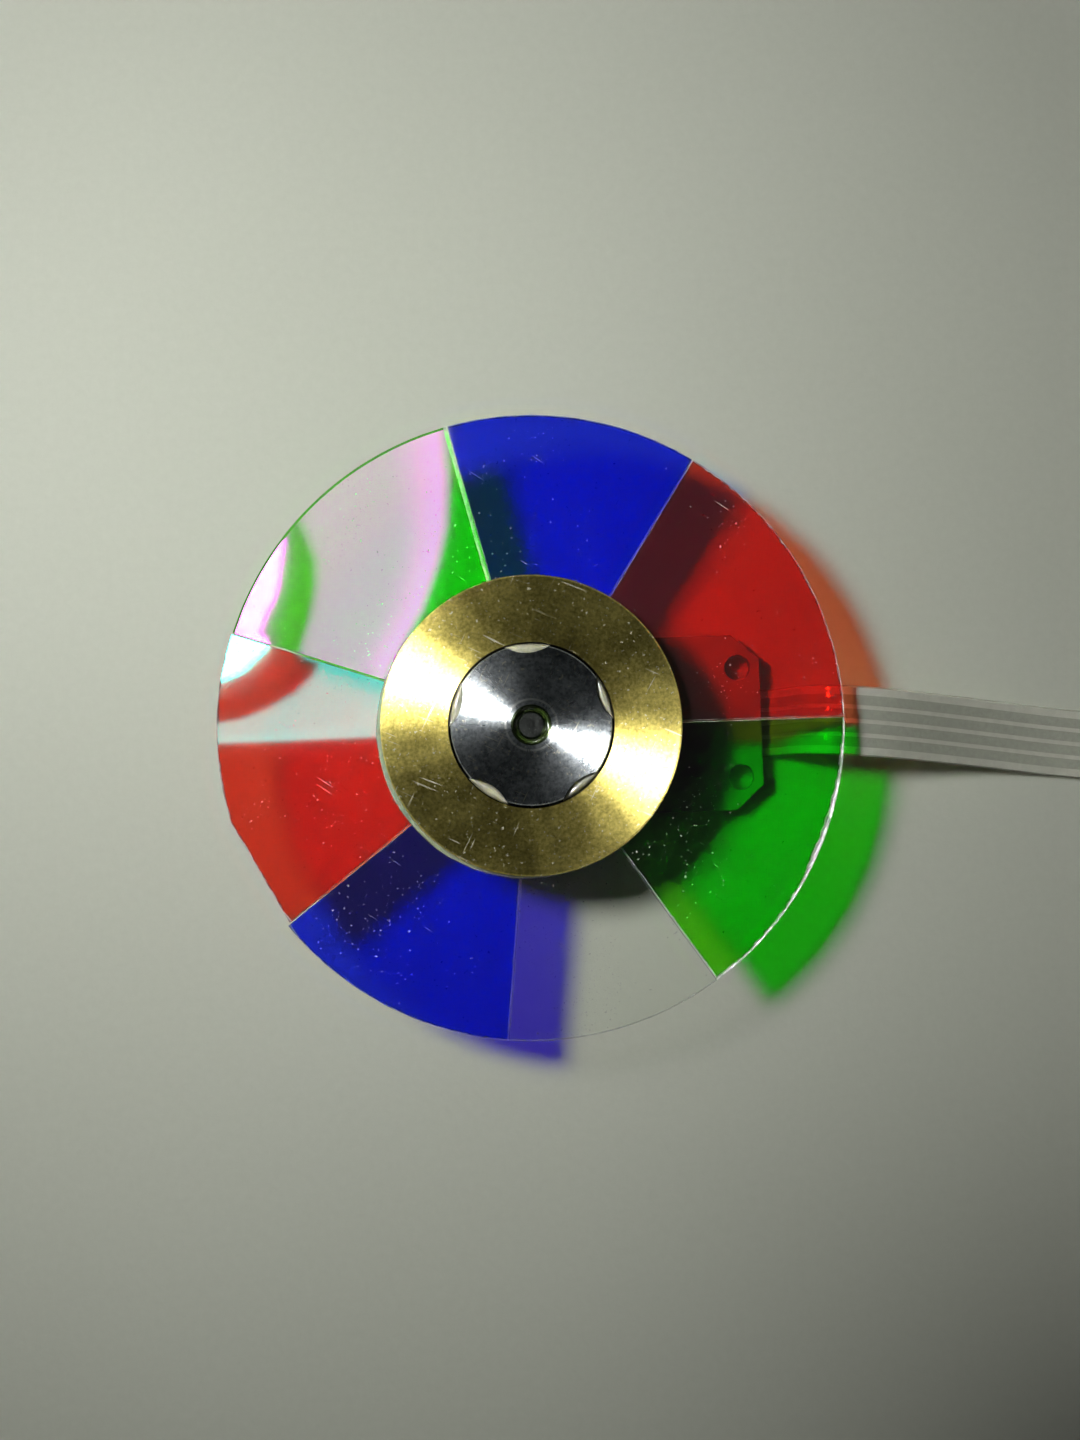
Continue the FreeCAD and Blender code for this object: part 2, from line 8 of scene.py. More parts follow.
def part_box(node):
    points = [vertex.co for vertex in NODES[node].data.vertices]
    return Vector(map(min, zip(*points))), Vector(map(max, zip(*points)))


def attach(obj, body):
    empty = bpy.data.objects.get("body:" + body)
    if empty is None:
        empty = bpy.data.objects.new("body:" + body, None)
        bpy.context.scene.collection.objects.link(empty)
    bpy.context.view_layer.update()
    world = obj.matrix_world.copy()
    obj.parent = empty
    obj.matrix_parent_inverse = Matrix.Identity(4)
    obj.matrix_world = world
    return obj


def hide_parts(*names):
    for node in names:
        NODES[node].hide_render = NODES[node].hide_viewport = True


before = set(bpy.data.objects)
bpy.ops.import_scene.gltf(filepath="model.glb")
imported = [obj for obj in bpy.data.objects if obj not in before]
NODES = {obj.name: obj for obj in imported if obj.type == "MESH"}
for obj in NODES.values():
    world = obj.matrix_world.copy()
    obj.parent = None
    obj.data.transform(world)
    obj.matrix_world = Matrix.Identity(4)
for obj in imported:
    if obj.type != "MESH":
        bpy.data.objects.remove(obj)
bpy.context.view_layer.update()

# All lengths are metres, in the part's own frame: the spin axis is Z, the plate's arm is along +X.
MM = 0.001

# Seeds of the random draws; each filter and each dab of glue counts on from its own
GLASS_SEED = 40
DAB_SEED = 70
LOCK_GLUE_SEED = 91
ADHESIVE_SEED = 17

# The photograph's frame, in pixels, and how it lies over the part
PHOTO_WIDTH = 1080
PHOTO_HEIGHT = 1440
PHOTO_TURN = math.radians(2.0)
PIXELS_PER_MM_AT_GLASS = 14.26
GLASS_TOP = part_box("filter_clear")[1][2]
AXIS_PIXEL = (531.3, 726.0)
CAMERA_RISE = 150 * MM
CAMERA_OFFSET = (0.0, -6.3 * MM)


def turned(x, y, angle):
    """The point (x, y) turned about the spin axis."""
    return x * math.cos(angle) - y * math.sin(angle), x * math.sin(angle) + y * math.cos(angle)


def at_pixel(px, py):
    """The point of the glass's upper face that the photograph shows at a pixel."""
    x = (px - AXIS_PIXEL[0]) / PIXELS_PER_MM_AT_GLASS * MM
    y = (AXIS_PIXEL[1] - py) / PIXELS_PER_MM_AT_GLASS * MM
    return turned(x, y, -PHOTO_TURN)


# Shader building


class Shader:
    """One material's nodes, built by short calls."""

    def __init__(self, name):
        self.material = bpy.data.materials.new(name)
        self.material.use_nodes = True
        self.tree = self.material.node_tree
        self.tree.nodes.clear()
        self.output = self.tree.nodes.new("ShaderNodeOutputMaterial")

    def add(self, kind, inputs=None, **settings):
        node = self.tree.nodes.new("ShaderNode" + kind)
        for name, value in settings.items():
            setattr(node, name, value)
        for name, value in (inputs or {}).items():
            self.feed(node.inputs[name], value)
        return node

    def feed(self, socket, value):
        if isinstance(value, bpy.types.NodeSocket):
            self.tree.links.new(value, socket)
        else:
            socket.default_value = value

    def math(self, operation, *values):
        node = self.add("Math", operation=operation)
        for socket, value in zip(node.inputs, values):
            self.feed(socket, value)
        return node.outputs[0]

    def place(self):
        """The point being shaded, in metres in the part's frame."""
        return self.add("TexCoord").outputs["Object"]

    def noise(self, vector, scale, detail=2.0, roughness=0.5):
        inputs = {"Vector": vector, "Scale": scale, "Detail": detail, "Roughness": roughness}
        return self.add("TexNoise", inputs).outputs["Fac"]

    def step(self, value, low, high, to_low=0.0, to_high=1.0):
        """A value remapped from one range to another, held at the ends."""
        inputs = {"Value": value, "From Min": low, "From Max": high,
                  "To Min": to_low, "To Max": to_high}
        return self.add("MapRange", inputs, clamp=True).outputs["Result"]

    def blend(self, share, first, second):
        """Colour between two colours."""
        node = self.add("Mix", data_type="RGBA")
        self.feed(node.inputs["Factor"], share)
        self.feed(node.inputs["A"], first)
        self.feed(node.inputs["B"], second)
        return node.outputs["Result"]

    def polar(self):
        """Distance from the spin axis and angle round it."""
        split = self.add("SeparateXYZ", {"Vector": self.place()})
        x, y = split.outputs["X"], split.outputs["Y"]
        reach = self.math("SQRT", self.math("ADD", self.math("MULTIPLY", x, x),
                                            self.math("MULTIPLY", y, y)))
        return reach, self.math("ARCTAN2", y, x)

    def bump(self, height, depth, strength=1.0):
        inputs = {"Height": height, "Distance": depth, "Strength": strength}
        return self.add("Bump", inputs).outputs["Normal"]

    def finish(self, surface):
        self.tree.links.new(surface, self.output.inputs["Surface"])
        return self.material


def rgb(red, green, blue):
    return (red, green, blue, 1.0)


def scaled(colour, factor):
    return (colour[0] * factor, colour[1] * factor, colour[2] * factor, 1.0)


def plain(name, colour, roughness=0.5, metallic=0.0, grain=900.0, wear=0.25, depth=4e-6, coat=0.0):
    """A worked surface: mottled colour, uneven gloss and a fine grain.

    Grain is how fine the mottling is, wear how far its colour varies, and depth the height in
    metres of the fine relief.
    """
    shader = Shader(name)
    place = shader.place()
    mottle = shader.noise(place, grain, 4.0, 0.6)
    fine = shader.noise(place, grain * 9, 3.0, 0.6)
    shade = shader.step(mottle, 0.3, 0.7)
    colour_out = shader.blend(shade, scaled(colour, 1 - wear), scaled(colour, 1 + wear * 0.4))
    inputs = {
        "Base Color": colour_out,
        "Roughness": shader.step(mottle, 0.3, 0.7, roughness * 0.8, min(1.0, roughness * 1.25)),
        "Metallic": metallic,
        "Coat Weight": coat,
        "Coat Roughness": 0.08,
        "Normal": shader.bump(fine, depth),
    }
    return shader.finish(shader.add("BsdfPrincipled", inputs).outputs["BSDF"])


def scratches(shader, place, heading, fineness, rarity):
    """Thin straight marks in one direction: 1 on a mark, 0 elsewhere.

    Fineness is the number of noise cells to the metre across the marks.
    """
    cells_along = 260.0
    spin = shader.add("VectorRotate", {"Vector": place, "Angle": math.radians(heading)},
                      rotation_type="Z_AXIS").outputs["Vector"]
    drawn_out = shader.add("Mapping", {"Vector": spin, "Scale": (cells_along, fineness, 0.0)},
                           vector_type="POINT").outputs["Vector"]
    lines = shader.noise(drawn_out, 1.0, 1.0, 0.4)
    return shader.step(lines, rarity, rarity + 0.02)


def turned_metal(name, bright, dull, roughness, speck, sheen_noise, stain_and_shade_rings):
    """Metal faced on a lathe: fine rings, a patina of blotches, small bright specks, scratches.

    Speck is how far the specks lose the metal's mirror, and sheen_noise how unevenly the sheen
    fans out. Each ring given round the axis, whether a stain or a painted shade, has its inner and
    outer radius in millimetres, and its colour.
    """
    shader = Shader(name)
    place = shader.place()
    reach, angle = shader.polar()
    rings = shader.add("CombineXYZ", {
        "X": shader.math("MULTIPLY", reach, 5200.0),
        "Y": shader.math("MULTIPLY", angle, 2.4),
    }).outputs["Vector"]
    groove = shader.noise(rings, 1.0, 3.0, 0.65)
    coarse = shader.noise(rings, 0.22, 2.0, 0.5)
    fans = shader.add("CombineXYZ", {
        "X": shader.math("MULTIPLY", reach, 260.0),
        "Y": shader.math("MULTIPLY", angle, 5.5),
    }).outputs["Vector"]
    fan = shader.noise(fans, 1.0, 3.0, 0.55)
    blotch = shader.noise(place, 330.0, 4.0, 0.6)
    grain = shader.noise(place, 3800.0, 2.0, 0.6)
    patina = shader.math("ADD", shader.math("MULTIPLY", groove, 0.2), shader.math(
        "ADD", shader.math("MULTIPLY", blotch, 0.3), shader.math("MULTIPLY", grain, 0.6)))
    colour = shader.blend(shader.step(patina, 0.42, 0.66), dull, bright)
    dots = shader.noise(place, 3300.0, 2.0, 0.6)
    marks = shader.math("MAXIMUM", scratches(shader, place, 25.0, 4200.0, 0.69),
                        scratches(shader, place, -62.0, 4700.0, 0.7))
    patches = shader.noise(place, 210.0, 2.0, 0.5)
    marks = shader.math("MULTIPLY", marks, shader.step(patches, 0.48, 0.58))
    flecks = shader.math("MAXIMUM", shader.step(dots, 0.64, 0.7), marks)
    colour = shader.blend(shader.math("MULTIPLY", flecks, 0.8), colour, rgb(0.98, 0.95, 0.78))
    # The noise is 0.5 in the middle of its range, so half of the wander is added to both radii
    wander, fade = 0.1 * MM, 0.05 * MM
    ragged = shader.math("ADD", reach, shader.math("MULTIPLY", blotch, wander))
    # Each ring is laid over the colour; some are stains, some painted shade
    for inner, outer, tint in stain_and_shade_rings:
        start, end = inner * MM + wander / 2, outer * MM + wander / 2
        within = shader.math("MULTIPLY", shader.step(ragged, start - fade, start),
                             shader.step(ragged, end, end + fade, 1.0, 0.0))
        colour = shader.blend(within, colour, tint)
    relief = shader.math("ADD", groove, shader.math("MULTIPLY", coarse, 0.8))
    spread = shader.math("ADD", shader.math("MULTIPLY", blotch, 0.5),
                         shader.math("MULTIPLY", fan, sheen_noise))
    middle = 0.25 + sheen_noise / 2
    inputs = {
        "Base Color": colour,
        "Metallic": shader.math("SUBTRACT", 1.0, shader.math("MULTIPLY", flecks, speck)),
        "Roughness": shader.step(spread, middle - 0.2, middle + 0.2,
                                 roughness * 0.8, roughness * 1.2),
        "Anisotropic": 1.0,
        "Anisotropic Rotation": 0.25,
        "Tangent": shader.add("Tangent", direction_type="RADIAL", axis="Z").outputs["Tangent"],
        "Normal": shader.bump(relief, 2.5e-6, 0.5),
    }
    return shader.finish(shader.add("BsdfPrincipled", inputs).outputs["BSDF"])


# Glass


def coated_glass(name, passed, slanted, thrown, haze=(0.0, 0.0, 0.0, 1.0)):
    """A dichroic face: it passes one colour, another at a slant, and throws back the rest.

    It mirrors on its outer side only. Dust and fine scratches lie on it.
    """
    shader = Shader(name)
    place = shader.place()
    slant = shader.add("LayerWeight", {"Blend": 0.5}).outputs["Facing"]
    tint = shader.blend(shader.step(slant, 0.03, 0.14), passed, slanted)
    through = shader.add("BsdfTransparent", {"Color": tint}).outputs["BSDF"]
    inside = shader.add("NewGeometry").outputs["Backfacing"]
    mirror = shader.add("BsdfGlossy", {
        "Color": shader.blend(inside, thrown, rgb(0.0, 0.0, 0.0)),
        "Roughness": 0.035,
    }).outputs["BSDF"]
    both = shader.add("AddShader")
    shader.feed(both.inputs[0], through)
    shader.feed(both.inputs[1], mirror)
    body = shader.add("AddShader")
    shader.feed(body.inputs[0], both.outputs[0])
    shader.feed(body.inputs[1], shader.add("BsdfDiffuse", {"Color": haze}).outputs["BSDF"])
    grains = shader.noise(place, 3600.0, 1.0, 0.4)
    field = shader.noise(place, 150.0, 2.0, 0.5)
    fine = shader.noise(place, 7000.0, 0.0, 0.4)
    motes = shader.math("MULTIPLY", shader.step(grains, 0.757, 0.785), shader.step(field, 0.4, 0.6))
    motes = shader.math("MAXIMUM", motes, shader.math("MULTIPLY", shader.step(fine, 0.795, 0.82),
                                                      shader.step(field, 0.5, 0.65)))
    streak = shader.math("MULTIPLY", scratches(shader, place, 35.0, 9000.0, 0.76),
                         shader.step(field, 0.55, 0.6))
    motes = shader.math("MAXIMUM", motes, streak)
    mote = shader.add("BsdfDiffuse", {"Color": rgb(0.9, 0.9, 0.87)}).outputs["BSDF"]
    mix = shader.add("MixShader", {"Fac": shader.math("MULTIPLY", motes, 0.9)})
    shader.feed(mix.inputs[1], body.outputs[0])
    shader.feed(mix.inputs[2], mote)
    return shader.finish(mix.outputs[0])


def ground_edge(name, tint, share):
    """The cut and chipped edge of the glass: half clear, with small glinting facets."""
    shader = Shader(name)
    place = shader.place()
    facets = shader.noise(place, 3600.0, 3.0, 0.6)
    flakes = shader.noise(place, 900.0, 2.0, 0.6)
    through = shader.add("BsdfTransparent", {"Color": tint}).outputs["BSDF"]
    frost = shader.add("BsdfPrincipled", {
        "Base Color": rgb(0.93, 0.95, 0.93),
        "Roughness": 0.26,
        "Specular IOR Level": 1.0,
        "Normal": shader.bump(facets, 2e-5),
    }).outputs["BSDF"]
    mix = shader.add("MixShader", {"Fac": shader.step(flakes, 0.35, 0.6, 0.35 * share, share)})
    shader.feed(mix.inputs[1], through)
    shader.feed(mix.inputs[2], frost)
    return shader.finish(mix.outputs[0])


CLEAR_FACE = coated_glass("clear_face", rgb(0.99, 0.995, 0.99), rgb(0.99, 0.99, 0.985),
                          rgb(0.012, 0.012, 0.014))
COATS = {
    "red": coated_glass("red_coat", rgb(1.0, 0.045, 0.014), rgb(1.0, 0.19, 0.08),
                        rgb(0.05, 0.9, 0.8), haze=rgb(0.022, 0.009, 0.01)),
    "green": coated_glass("green_coat", rgb(0.11, 0.96, 0.002), rgb(0.0, 0.95, 0.0),
                          rgb(0.9, 0.03, 0.9)),
    "blue": coated_glass("blue_coat", rgb(0.015, 0.03, 1.0), rgb(0.08, 0.05, 1.0),
                         rgb(0.85, 0.8, 0.05), haze=rgb(0.0, 0.004, 0.05)),
    "clear": coated_glass("clear_coat", rgb(0.95, 0.96, 0.95), rgb(0.94, 0.94, 0.93),
                          rgb(0.02, 0.02, 0.025)),
}
EDGES = {
    "red": ground_edge("red_edge", rgb(0.6, 0.2, 0.2), 0.6),
    "green": ground_edge("green_edge", rgb(0.35, 0.75, 0.2), 0.1),
    "blue": ground_edge("blue_edge", rgb(0.2, 0.35, 0.8), 0.5),
    "clear": ground_edge("clear_edge", rgb(0.74, 0.76, 0.75), 0.22),
    "chipped": ground_edge("chipped_edge", rgb(0.4, 0.75, 0.4), 1.0),
    "ground": ground_edge("ground_edge", rgb(0.85, 0.86, 0.84), 0.5),
}

# Each filter, its span in degrees round the spin axis, the width of its ground rim in
# millimetres, how much of that width chips add, and the finish of its edges
FIRST_SEAM = -0.2
FILTERS = [
    ("filter_red_a", "red", 57.0, 0.07, 1.0, "red"),
    ("filter_blue_a", "blue", 47.0, 0.05, 0.5, "blue"),
    ("filter_green_b", "green", 57.0, 0.17, 0.05, "green"),
    ("filter_red_b", "red", 56.5, 0.06, 0.6, "red"),
    ("filter_blue_b", "blue", 46.5, 0.05, 0.5, "blue"),
    ("filter_clear", "clear", 40.5, 0.03, 0.5, "clear"),
    ("filter_green_a", "green", 55.5, 0.13, 0.7, "chipped"),
]
# Broad chips in the rim: heading and reach each way in degrees, and width in millimetres
BROAD_CHIPS = [(338.5, 11.0, 0.2), (216.5, 0.8, 0.4)]
# One filter stands a little proud, and its outer corner is ground to a flat
PROUD_FILTER = "filter_red_b"
PROUD_RIM = 0.08 * MM
FLAT_HEADING = math.radians(208.7)
FLAT_DISTANCE = 21.54 * MM
# Another has a wide bevel where it meets the filter before it
WIDE_BEVEL_FILTER = "filter_green_b"
WIDE_BEVEL = 0.22 * MM
EDGE_BEVEL = 0.035 * MM
SEAM_GAP = 0.1 * MM
SECTION_STEP = 0.25  # degrees between the sections of a filter
GLASS_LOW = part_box("filter_clear")[0][2]
DISC_RADIUS = 22.0 * MM
BORE_RADIUS = 5.75 * MM


def mesh_object(name, points, faces, materials, face_materials=None, smooth=False):
    mesh = bpy.data.meshes.new(name)
    mesh.from_pydata(points, [], faces)
    for item in materials:
        mesh.materials.append(item)
    for index, polygon in enumerate(mesh.polygons):
        polygon.use_smooth = smooth
        if face_materials:
            polygon.material_index = face_materials[index]
    mesh.update()
    piece = bpy.data.objects.new(name, mesh)
    bpy.context.scene.collection.objects.link(piece)
    return piece


def rim_widths(angles, width, chipping, seed):
    """How wide the ground and chipped edge is at each angle round the rim."""
    dice = random.Random(seed)
    first, last = angles[0], angles[-1]
    chips = []
    for _ in range(int(400 * width) + 8):
        centre = dice.uniform(first, last)
        reach = math.radians(dice.uniform(0.3, 1.6))
        chips.append((centre, reach, dice.uniform(0.3, 1.4) * chipping * width * MM))
    widths = []
    for angle in angles:
        here = width * MM * (1 + chipping * dice.uniform(-0.15, 0.15))
        for centre, reach, cut in chips:
            away = abs(angle - centre) / reach
            if away < 1:
                here = max(here, (width * MM + cut) * (1 - away ** 2) ** 0.5)
        for heading, reach, broad in BROAD_CHIPS:
            here += broad * MM * math.exp(-((math.degrees(angle) - heading) / reach) ** 2)
        widths.append(here)
    return widths


def glass_sector(row, start, seed, gap, first_bevel, proud):
    """One filter: a sector with a hollow-ground, chipped rim and a fine bevel on every edge."""
    name, colour, span, width, chipping, edge_finish = row
    dice = random.Random(seed)
    first, last = math.radians(start), math.radians(start + span)
    count = int(span / SECTION_STEP)
    angles = [first + (last - first) * index / count for index in range(count + 1)]
    widths = rim_widths(angles, width, chipping, seed)
    outer = DISC_RADIUS + proud

    def section(angle, inset, rim, shrink):
        """Corners of the section at an angle, moved sideways by an inset."""
        wall = outer - shrink
        if name == PROUD_FILTER:
            wall = min(wall, FLAT_DISTANCE / math.cos(angle - FLAT_HEADING) - shrink)
        top = GLASS_TOP - shrink
        # The rim is hollow: it drops by a fifth of its width, then climbs a little to the wall
        floor_of_rim = top - 0.2 * rim
        lip = floor_of_rim + 0.5 * rim * math.tan(math.radians(dice.uniform(9, 19)))
        profile = [
            (BORE_RADIUS + shrink, GLASS_LOW + shrink),
            (wall - EDGE_BEVEL, GLASS_LOW + shrink),
            (wall, GLASS_LOW + EDGE_BEVEL + shrink),
            (wall, min(lip, top)),
            (wall - 0.5 * rim * dice.uniform(0.9, 1.1), floor_of_rim),
            (wall - rim, top),
            (BORE_RADIUS + shrink, top),
        ]
        across = (-math.sin(angle) * inset, math.cos(angle) * inset)
        return [
            (reach * math.cos(angle) + across[0], reach * math.sin(angle) + across[1], height)
            for reach, height in profile
        ]

    sections = [section(first, gap, widths[0], EDGE_BEVEL)]
    sections.append(section(first, gap + first_bevel, widths[0], 0.0))
    margin = (2 * gap + first_bevel + 3 * EDGE_BEVEL) / BORE_RADIUS
    for angle, rim in zip(angles, widths):
        if first + margin < angle < last - margin:
            sections.append(section(angle, 0.0, rim, 0.0))
    sections.append(section(last, -gap - EDGE_BEVEL, widths[-1], 0.0))
    sections.append(section(last, -gap, widths[-1], EDGE_BEVEL))

    size = len(sections[0])
    points = [point for loop in sections for point in loop]
    coat, edge, clear, bevel = 0, 1, 2, 3
    faces = [tuple(range(size))]
    kinds = [edge]
    side_kinds = [clear, edge, edge, edge, edge, coat, edge]
    for index in range(len(sections) - 1):
        here, there = size * index, size * (index + 1)
        bevelled = index in (0, len(sections) - 2)
        for corner in range(size):
            after = (corner + 1) % size
            faces.append((here + corner, there + corner, there + after, here + after))
            kinds.append(bevel if bevelled else side_kinds[corner])
    last_loop = size * (len(sections) - 1)
    faces.append(tuple(range(last_loop + size - 1, last_loop - 1, -1)))
    kinds.append(edge)
    seam_finish = "ground" if first_bevel > EDGE_BEVEL else edge_finish
    materials = [COATS[colour], EDGES[edge_finish], CLEAR_FACE, EDGES[seam_finish]]
    return mesh_object("glass_" + name, points, faces, materials, kinds)


def glass_disc():
    """The seven filters, one after another round the spin axis."""
    start = FIRST_SEAM
    for index, row in enumerate(FILTERS):
        name, colour, span = row[:3]
        first_bevel = WIDE_BEVEL if name == WIDE_BEVEL_FILTER else EDGE_BEVEL
        proud = PROUD_RIM if name == PROUD_FILTER else 0.0
        piece = glass_sector(row, start, GLASS_SEED + index, SEAM_GAP / 2, first_bevel, proud)
        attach(piece, "wheel")
        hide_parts(name)
        start += span


glass_disc()

# Metals and plastics of the carried-over pieces

# The near-black ring at the bore of the brass is painted shade in the gap round the hub
BRASS = turned_metal(
    "ring_brass", rgb(0.84, 0.71, 0.2), rgb(0.47, 0.38, 0.085),
    roughness=0.4, speck=0.55, sheen_noise=0.7, stain_and_shade_rings=[(5.6, 5.77, rgb(0.02, 0.018, 0.012))])
# Round the recess at the hub's middle: a dark green ring, and a thin pale ring further out
SILVER = turned_metal(
    "hub_aluminium", rgb(0.6, 0.64, 0.66), rgb(0.22, 0.25, 0.27),
    roughness=0.28, speck=0.0, sheen_noise=0.4,
    stain_and_shade_rings=[(1.2, 1.4, rgb(0.05, 0.07, 0.03)), (1.74, 1.84, rgb(0.9, 0.93, 0.9))])
FINISHES = {
    "balance_ring": BRASS,
    "rotor_hub": SILVER,
    "shaft": plain("shaft_steel", rgb(0.36, 0.39, 0.36),
                   roughness=0.14, metallic=1.0, grain=1800.0, wear=0.3),
    "rotor_yoke": plain("yoke_steel", rgb(0.66, 0.67, 0.68),
                        roughness=0.3, metallic=1.0, grain=700.0, wear=0.15),
    "magnet_ring": plain("magnet", rgb(0.06, 0.055, 0.055), roughness=0.6, grain=1800.0),
    "timing_mark": plain("mark_black", rgb(0.012, 0.012, 0.012), roughness=0.8, grain=1800.0),
    "retaining_washer": plain("washer_nylon", rgb(0.8, 0.8, 0.76), roughness=0.45),
    "bond_film_lower": plain("bond_adhesive", rgb(0.5, 0.5, 0.42), roughness=0.2, grain=800.0),
    "bearing_housing": plain("housing_brass", rgb(0.7, 0.55, 0.24), roughness=0.3, metallic=1.0),
    "sleeve_bearing": plain("bearing_bronze", rgb(0.5, 0.32, 0.15),
                            roughness=0.5, metallic=1.0, grain=3000.0),
    "thrust_plate": plain("thrust_plastic", rgb(0.7, 0.62, 0.45), roughness=0.4),
    "stator_core": plain("core_steel", rgb(0.1, 0.11, 0.12),
                         roughness=0.45, metallic=0.6, grain=1200.0),
    "insulator_upper": plain("insulator_plastic", rgb(0.8, 0.79, 0.72), roughness=0.5),
    "stator_coil_1": plain("copper_wire", rgb(0.75, 0.28, 0.1),
                           roughness=0.3, metallic=0.9, grain=4000.0, wear=0.35, depth=1e-5),
    "lead_solder": plain("solder", rgb(0.72, 0.73, 0.74),
                         roughness=0.25, metallic=1.0, grain=2500.0, wear=0.2),
    "mounting_plate": plain("plate_steel", rgb(0.22, 0.22, 0.22),
                            roughness=0.5, metallic=0.6, grain=500.0, wear=0.12),
    "motor_circuit": plain("circuit_film", rgb(0.42, 0.2, 0.03),
                           roughness=0.3, grain=700.0, wear=0.3, coat=0.5),
    "cable_contacts": plain("contact_tin", rgb(0.75, 0.75, 0.73),
                            roughness=0.28, metallic=1.0, grain=2000.0),
    "cable_stiffener": plain("stiffener_film", rgb(0.03, 0.09, 0.4), roughness=0.35, coat=0.4),
}
# Nodes that share another node's finish
SHARED = {
    "end_cap": "bearing_housing",
    "insulator_lower": "insulator_upper",
    "coil_leads": "stator_coil_1",
    "cable_solder": "lead_solder",
}
for number in range(2, 10):
    SHARED[f"stator_coil_{number}"] = "stator_coil_1"

for name, piece in NODES.items():
    finish = FINISHES.get(SHARED.get(name, name))
    if finish:
        for slot in piece.material_slots:
            slot.material = finish

# Glue and adhesive


def glue(name, colour, glow, roughness=0.12):
    """Cured adhesive: glossy, a little uneven, letting some light through."""
    shader = Shader(name)
    place = shader.place()
    cloud = shader.noise(place, 900.0, 3.0, 0.6)
    ripple = shader.noise(place, 1700.0, 2.0, 0.5)
    inputs = {
        "Base Color": shader.blend(shader.step(cloud, 0.35, 0.65), scaled(colour, 0.7),
                                   scaled(colour, 1.1)),
        "Roughness": roughness,
        "Subsurface Weight": glow,
        "Subsurface Radius": (0.4 * MM, 0.4 * MM, 0.25 * MM),
        "Subsurface Scale": 1.0,
        "Coat Weight": 0.6,
        "Coat Roughness": 0.05,
        "Normal": shader.bump(ripple, 2e-5),
    }
    return shader.finish(shader.add("BsdfPrincipled", inputs).outputs["BSDF"])


def lofted(name, loops, materials, closed_round=True):
    """A smooth mesh through closed loops of points, joined end to end or else capped."""
    size = len(loops[0])
    points = [point for loop in loops for point in loop]
    faces = []
    for index in range(len(loops) if closed_round else len(loops) - 1):
        here = size * index
        there = size * ((index + 1) % len(loops))
        for corner in range(size):
            after = (corner + 1) % size
            faces.append((here + corner, there + corner, there + after, here + after))
    if not closed_round:
        faces.append(tuple(range(size)))
        faces.append(tuple(range(size * len(loops) - 1, size * (len(loops) - 1) - 1, -1)))
    return mesh_object(name, points, faces, materials, smooth=True)


POCKET_COUNT = 5
POCKET_CENTRE = 8.0 * MM
POCKET_RADIUS = 3.0 * MM
POCKET_FIRST = math.radians(19)
DAB_OUTER = 5.73 * MM
DAB_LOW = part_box("glue_dab_1")[0][2]
DAB_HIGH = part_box("glue_dab_1")[1][2]
DAB_GLUE = glue("glue_cream", rgb(0.78, 0.76, 0.58), 0.4)


def glue_dab(number):
    """A glossy bead in one pocket, high in the middle and drawn up at the pocket's ends."""
    dice = random.Random(DAB_SEED + number)
    heading = POCKET_FIRST + math.radians(360 / POCKET_COUNT) * (number - 1)
    cosine = ((DAB_OUTER ** 2 + POCKET_CENTRE ** 2 - POCKET_RADIUS ** 2)
              / (2 * POCKET_CENTRE * DAB_OUTER))
    half_angle = math.acos(cosine) * 0.985
    rise = DAB_HIGH - DAB_LOW
    lean = dice.uniform(-0.2, 0.2)
    loops = []
    across_steps, along_steps = 14, 36
    for along in range(along_steps + 1):
        share = along / along_steps * 2 - 1
        angle = half_angle * share
        inner = POCKET_CENTRE * math.cos(angle) - math.sqrt(
            POCKET_RADIUS ** 2 - (POCKET_CENTRE * math.sin(angle)) ** 2)
        loop = []
        for across in range(across_steps + 1):
            step = across / across_steps
            reach = inner + (DAB_OUTER - inner) * step
            crown = (1 - (2 * step - 1) ** 2) ** 0.8 * (1 - 0.55 * share ** 2 + lean * share)
            ends = 0.22 * abs(share) ** 6
            height = DAB_LOW + rise * (0.3 + 0.5 * crown + ends + 0.03 * dice.random())
            loop.append((reach, angle, min(height, DAB_HIGH)))
        floor_points = [(loop[-1][0], angle, DAB_LOW), (loop[0][0], angle, DAB_LOW)]
        loops.append([
            (r * math.cos(a + heading), r * math.sin(a + heading), z)
            for r, a, z in reversed(loop + floor_points)
        ])
    piece = lofted(f"glue_bead_{number}", loops, [DAB_GLUE], closed_round=False)
    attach(piece, "wheel")
    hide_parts(f"glue_dab_{number}")


for number in range(1, POCKET_COUNT + 1):
    glue_dab(number)


def lock_glue():
    """The ring of glue between the shaft and its recess, drawn up against both walls."""
    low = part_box("shaft_lock_glue")[0][2]
    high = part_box("shaft_lock_glue")[1][2]
    # The radius of the shaft and that of the recess
    inner, outer = 1.0 * MM, 1.3 * MM
    dice = random.Random(LOCK_GLUE_SEED)
    loops = []
    steps = 96
    for index in range(steps):
        angle = 2 * math.pi * index / steps
        dip = 0.4 + 0.12 * math.sin(3 * angle + 1.0) + 0.05 * dice.random()
        loop = []
        for share in (0.0, 0.12, 0.3, 0.5, 0.7, 0.88, 1.0):
            reach = inner + (outer - inner) * share
            rise = 1 - dip * (1 - (2 * share - 1) ** 2)
            loop.append((reach, low + (high - low) * rise))
        loop += [(outer, low), (inner, low)]
        loops.append([(r * math.cos(angle), r * math.sin(angle), z) for r, z in reversed(loop)])
    piece = lofted("lock_glue_ring", loops, [glue("glue_green", rgb(0.06, 0.1, 0.02), 0.1, 0.1)])
    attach(piece, "wheel")
    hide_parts("shaft_lock_glue")


lock_glue()


